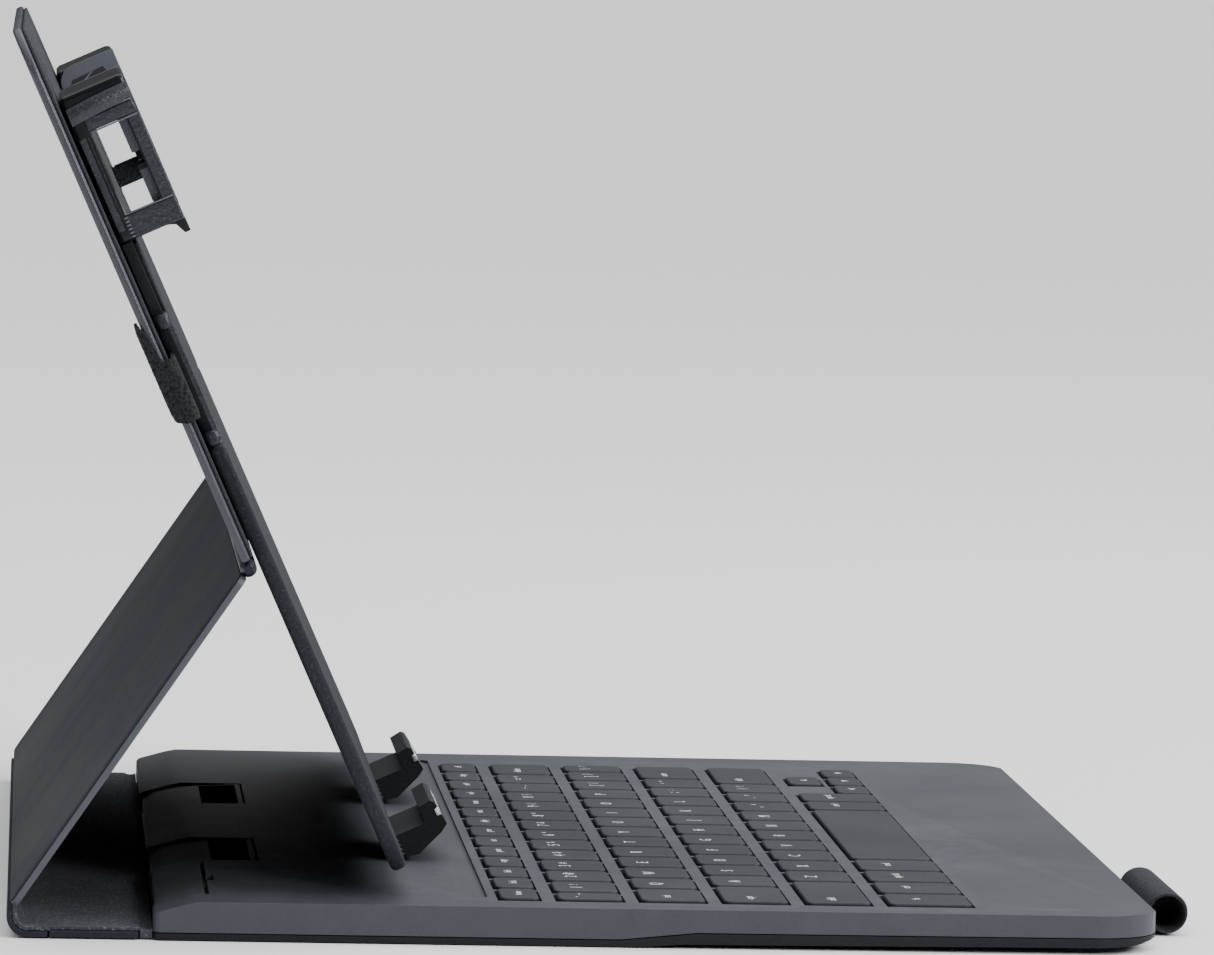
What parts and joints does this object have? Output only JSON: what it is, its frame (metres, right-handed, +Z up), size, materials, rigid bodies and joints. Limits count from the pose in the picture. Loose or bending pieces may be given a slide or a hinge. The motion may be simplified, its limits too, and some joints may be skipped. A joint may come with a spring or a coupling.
{
  "type": "tablet keyboard case",
  "caption": "Folding tablet keyboard case: flat keyboard deck, folding spine and kick panels, and a leaning tray with sprung corner clips, hooks and a stylus loop.",
  "frame": {"origin": "centre of the open case's bounding box, on the table", "axes": "+X to the user's right along the rows of keys, +Y away from the user towards the folded stand, +Z up"},
  "size_m": [0.2638, 0.2404, 0.1779],
  "materials": {
    "deck_shell": "fine grained",
    "black_plastic": "matt",
    "keycap": "matt with white legends",
    "gloss_black": "glossy",
    "steel": "bright",
    "magnet": "nickel plated",
    "board": "lacquered circuit board",
    "rubber": "matt",
    "felt": "speckled felt",
    "cover_skin": "smooth coated board",
    "webbing": "black knit"
  },
  "bodies": {
    "deck": {"deck_top_case": "deck_shell", "deck_bottom_plate": "black_plastic", "hook_socket_left": "black_plastic", "hook_socket_right": "black_plastic", "key_support_plate": "steel", "coin_cell_outer": "steel", "coin_cell_inner": "steel", "case_screw_1": "steel", "case_screw_2": "steel", "case_screw_3": "steel", "case_screw_4": "steel", "seat_magnet_left": "magnet", "seat_magnet_right": "magnet", "controller_board": "board", "key_membrane": "rubber", "front_foot_left": "rubber", "front_foot_right": "rubber", "stylus_loop": "rubber", "front_fold": "webbing"},
    "keeper": {"keeper_pin_left": "steel", "keeper_pin_right": "steel"},
    "tray": {"cover_board": "cover_skin", "cover_lining": "felt", "upper_fold": "webbing", "tray_board": "felt", "clip_elastic_left": "rubber", "clip_elastic_right": "rubber", "lower_hook_left": "gloss_black", "lower_hook_right": "gloss_black", "elastic_strap_left": "webbing", "elastic_strap_right": "webbing"},
    "kick": {"kick_board": "cover_skin"},
    "spine": {"spine_board": "cover_skin", "spine_lining": "felt", "rear_fold": "webbing"},
    "clip_left": {"top_clip_left": "gloss_black"},
    "clip_right": {"top_clip_right": "gloss_black"},
    "battery_door": {"battery_door": "deck_shell"},
    "function_keys": {"function_keys": "keycap"},
    "number_keys": {"number_keys": "keycap"},
    "backspace_key": {"backspace_key": "keycap"},
    "tab_key": {"tab_key": "keycap"},
    "upper_letter_keys": {"upper_letter_keys": "keycap"},
    "caps_lock_key": {"caps_lock_key": "keycap"},
    "home_letter_keys": {"home_letter_keys": "keycap"},
    "enter_key": {"enter_key": "keycap"},
    "left_shift_key": {"left_shift_key": "keycap"},
    "lower_letter_keys": {"lower_letter_keys": "keycap"},
    "right_shift_key": {"right_shift_key": "keycap"},
    "fn_key": {"fn_key": "keycap"},
    "control_key": {"control_key": "keycap"},
    "left_option_key": {"left_option_key": "keycap"},
    "left_command_key": {"left_command_key": "keycap"},
    "space_bar": {"space_bar": "keycap"},
    "right_command_key": {"right_command_key": "keycap"},
    "right_option_key": {"right_option_key": "keycap"},
    "arrow_left_key": {"arrow_left_key": "keycap"},
    "arrow_down_key": {"arrow_down_key": "keycap"},
    "arrow_up_key": {"arrow_up_key": "keycap"},
    "arrow_right_key": {"arrow_right_key": "keycap"}
  },
  "joints": [
    {"name": "keeper_slide", "type": "slide", "parent": "deck", "child": "keeper", "axis": [0, 0.9942, -0.1078], "range_m": [0, 0.0475]},
    {"name": "tray_fold", "type": "hinge", "parent": "keeper", "child": "tray", "pos_m": [0, 0.02977, 0.01563], "axis": [1, 0, 0], "range_deg": [0, 114.6]},
    {"name": "kick_fold", "type": "hinge", "parent": "tray", "child": "kick", "pos_m": [0, 0.0719, 0.0731], "axis": [1, 0, 0], "range_deg": [-58.4, 0], "deforming": ["upper_fold"]},
    {"name": "spine_fold", "type": "hinge", "parent": "deck", "child": "spine", "pos_m": [0, 0.0907, 0.0012], "axis": [1, 0, 0], "range_deg": [0, 90.1], "deforming": ["front_fold"]},
    {"name": "clip_left_pull", "type": "slide", "parent": "tray", "child": "clip_left", "axis": [0, 0.4163, 0.9092], "range_m": [0, 0.01], "stiffness_N_per_m": 150, "springref_m": -0.01},
    {"name": "clip_right_pull", "type": "slide", "parent": "tray", "child": "clip_right", "axis": [0, 0.4163, 0.9092], "range_m": [0, 0.01], "stiffness_N_per_m": 150, "springref_m": -0.01},
    {"name": "battery_door_slide", "type": "slide", "parent": "deck", "child": "battery_door", "axis": [0, -1, 0], "range_m": [-0.012, 0]},
    {"name": "function_keys_press", "type": "slide", "parent": "deck", "child": "function_keys", "axis": [0, 0, -1], "range_m": [0, 0.0014], "stiffness_N_per_m": 300, "springref_m": -0.0005},
    {"name": "number_keys_press", "type": "slide", "parent": "deck", "child": "number_keys", "axis": [0, 0, -1], "range_m": [0, 0.0014], "stiffness_N_per_m": 300, "springref_m": -0.0005},
    {"name": "backspace_key_press", "type": "slide", "parent": "deck", "child": "backspace_key", "axis": [0, 0, -1], "range_m": [0, 0.0014], "stiffness_N_per_m": 300, "springref_m": -0.0005},
    {"name": "tab_key_press", "type": "slide", "parent": "deck", "child": "tab_key", "axis": [0, 0, -1], "range_m": [0, 0.0014], "stiffness_N_per_m": 300, "springref_m": -0.0005},
    {"name": "upper_letter_keys_press", "type": "slide", "parent": "deck", "child": "upper_letter_keys", "axis": [0, 0, -1], "range_m": [0, 0.0014], "stiffness_N_per_m": 300, "springref_m": -0.0005},
    {"name": "caps_lock_key_press", "type": "slide", "parent": "deck", "child": "caps_lock_key", "axis": [0, 0, -1], "range_m": [0, 0.0014], "stiffness_N_per_m": 300, "springref_m": -0.0005},
    {"name": "home_letter_keys_press", "type": "slide", "parent": "deck", "child": "home_letter_keys", "axis": [0, 0, -1], "range_m": [0, 0.0014], "stiffness_N_per_m": 300, "springref_m": -0.0005},
    {"name": "enter_key_press", "type": "slide", "parent": "deck", "child": "enter_key", "axis": [0, 0, -1], "range_m": [0, 0.0014], "stiffness_N_per_m": 300, "springref_m": -0.0005},
    {"name": "left_shift_key_press", "type": "slide", "parent": "deck", "child": "left_shift_key", "axis": [0, 0, -1], "range_m": [0, 0.0014], "stiffness_N_per_m": 300, "springref_m": -0.0005},
    {"name": "lower_letter_keys_press", "type": "slide", "parent": "deck", "child": "lower_letter_keys", "axis": [0, 0, -1], "range_m": [0, 0.0014], "stiffness_N_per_m": 300, "springref_m": -0.0005},
    {"name": "right_shift_key_press", "type": "slide", "parent": "deck", "child": "right_shift_key", "axis": [0, 0, -1], "range_m": [0, 0.0014], "stiffness_N_per_m": 300, "springref_m": -0.0005},
    {"name": "fn_key_press", "type": "slide", "parent": "deck", "child": "fn_key", "axis": [0, 0, -1], "range_m": [0, 0.0014], "stiffness_N_per_m": 300, "springref_m": -0.0005},
    {"name": "control_key_press", "type": "slide", "parent": "deck", "child": "control_key", "axis": [0, 0, -1], "range_m": [0, 0.0014], "stiffness_N_per_m": 300, "springref_m": -0.0005},
    {"name": "left_option_key_press", "type": "slide", "parent": "deck", "child": "left_option_key", "axis": [0, 0, -1], "range_m": [0, 0.0014], "stiffness_N_per_m": 300, "springref_m": -0.0005},
    {"name": "left_command_key_press", "type": "slide", "parent": "deck", "child": "left_command_key", "axis": [0, 0, -1], "range_m": [0, 0.0014], "stiffness_N_per_m": 300, "springref_m": -0.0005},
    {"name": "space_bar_press", "type": "slide", "parent": "deck", "child": "space_bar", "axis": [0, 0, -1], "range_m": [0, 0.0014], "stiffness_N_per_m": 300, "springref_m": -0.0005},
    {"name": "right_command_key_press", "type": "slide", "parent": "deck", "child": "right_command_key", "axis": [0, 0, -1], "range_m": [0, 0.0014], "stiffness_N_per_m": 300, "springref_m": -0.0005},
    {"name": "right_option_key_press", "type": "slide", "parent": "deck", "child": "right_option_key", "axis": [0, 0, -1], "range_m": [0, 0.0014], "stiffness_N_per_m": 300, "springref_m": -0.0005},
    {"name": "arrow_left_key_press", "type": "slide", "parent": "deck", "child": "arrow_left_key", "axis": [0, 0, -1], "range_m": [0, 0.0014], "stiffness_N_per_m": 300, "springref_m": -0.0005},
    {"name": "arrow_down_key_press", "type": "slide", "parent": "deck", "child": "arrow_down_key", "axis": [0, 0, -1], "range_m": [0, 0.0014], "stiffness_N_per_m": 300, "springref_m": -0.0005},
    {"name": "arrow_up_key_press", "type": "slide", "parent": "deck", "child": "arrow_up_key", "axis": [0, 0, -1], "range_m": [0, 0.0014], "stiffness_N_per_m": 300, "springref_m": -0.0005},
    {"name": "arrow_right_key_press", "type": "slide", "parent": "deck", "child": "arrow_right_key", "axis": [0, 0, -1], "range_m": [0, 0.0014], "stiffness_N_per_m": 300, "springref_m": -0.0005}
  ],
  "couplings": [
    {"joint": "keeper_slide", "follows": "tray_fold", "m_per_rad": 0.0237},
    {"joint": "kick_fold", "follows": "tray_fold", "ratio": -0.50933},
    {"joint": "spine_fold", "follows": "tray_fold", "ratio": 0.78534}
  ]
}
